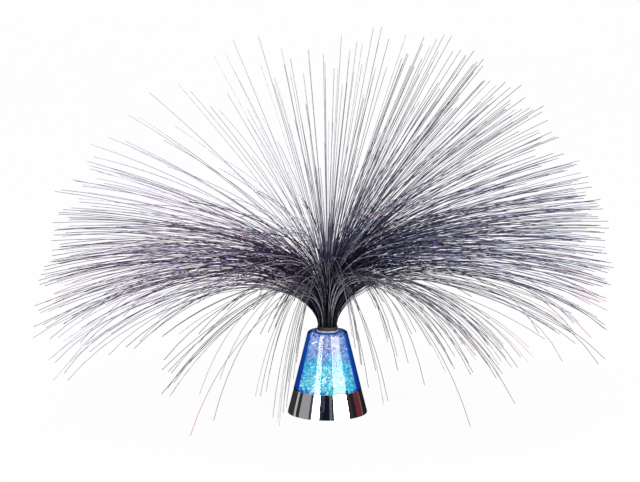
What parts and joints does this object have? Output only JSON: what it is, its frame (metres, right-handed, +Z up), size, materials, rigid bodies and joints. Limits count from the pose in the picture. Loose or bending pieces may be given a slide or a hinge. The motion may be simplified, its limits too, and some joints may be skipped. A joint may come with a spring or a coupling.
{
  "type": "fibre optic lamp",
  "caption": "Battery fibre optic lamp: a fountain of fine light guides on a clear, film-filled cone with a chromed skirt.",
  "frame": {"origin": "on the table under the middle of the skirt", "axes": "+Z up along the cone's axis, +X to the right and -Y to the front; the spray is widest along X"},
  "size_m": [0.5082, 0.4601, 0.3391],
  "materials": {
    "chrome": "polished",
    "clear_blue": "clear, tinted blue by what it holds",
    "film": "iridescent, crinkled",
    "white_plastic": "gloss",
    "black_sleeve": "matte",
    "strand": "dark, glossy",
    "black_plastic": "fine texture",
    "cell_wrap": "satin",
    "contact": "bright",
    "switch_case": "matte",
    "switch_knob": "matte",
    "lead": "bright",
    "board": "satin",
    "led": "gloss",
    "chip": "matte"
  },
  "bodies": {
    "base": {"chrome_skirt": "chrome", "clear_dome": "clear_blue", "iridescent_film": "film", "battery_holder": "black_plastic", "battery_cells": "cell_wrap", "flat_contacts": "contact", "leaf_contacts": "contact", "switch_body": "switch_case", "switch_leads": "lead", "led_board": "board", "centre_led": "led", "glow_leds": "led", "board_parts": "chip"},
    "collar": {"turning_ring": "white_plastic"},
    "spray": {"ferrule": "black_sleeve", "bundle_core": "strand", "strand_tier_01": "strand", "strand_tier_02": "strand", "strand_tier_03": "strand", "strand_tier_04": "strand", "strand_tier_05": "strand", "strand_tier_06": "strand", "strand_tier_07": "strand", "strand_tier_08": "strand", "strand_tier_09": "strand", "strand_tier_10": "strand", "strand_tier_11": "strand", "strand_tier_12": "strand"},
    "door": {"battery_door": "black_plastic"},
    "switch": {"switch_knob": "switch_knob"}
  },
  "joints": [
    {"name": "collar_turn", "type": "hinge", "parent": "base", "child": "collar", "pos_m": [0, 0, 0.0705], "axis": [0, 0, 1], "continuous": true},
    {"name": "spray_lift", "type": "slide", "parent": "collar", "child": "spray", "axis": [0, 0, 1], "range_m": [0, 0.06]},
    {"name": "battery_door_hinge", "type": "hinge", "parent": "base", "child": "door", "pos_m": [-0.02295, 0, 0.0019], "axis": [0, 1, 0], "range_deg": [0, 85]},
    {"name": "switch_slide", "type": "slide", "parent": "base", "child": "switch", "axis": [1, 0, 0], "range_m": [0, 0.003]}
  ]
}
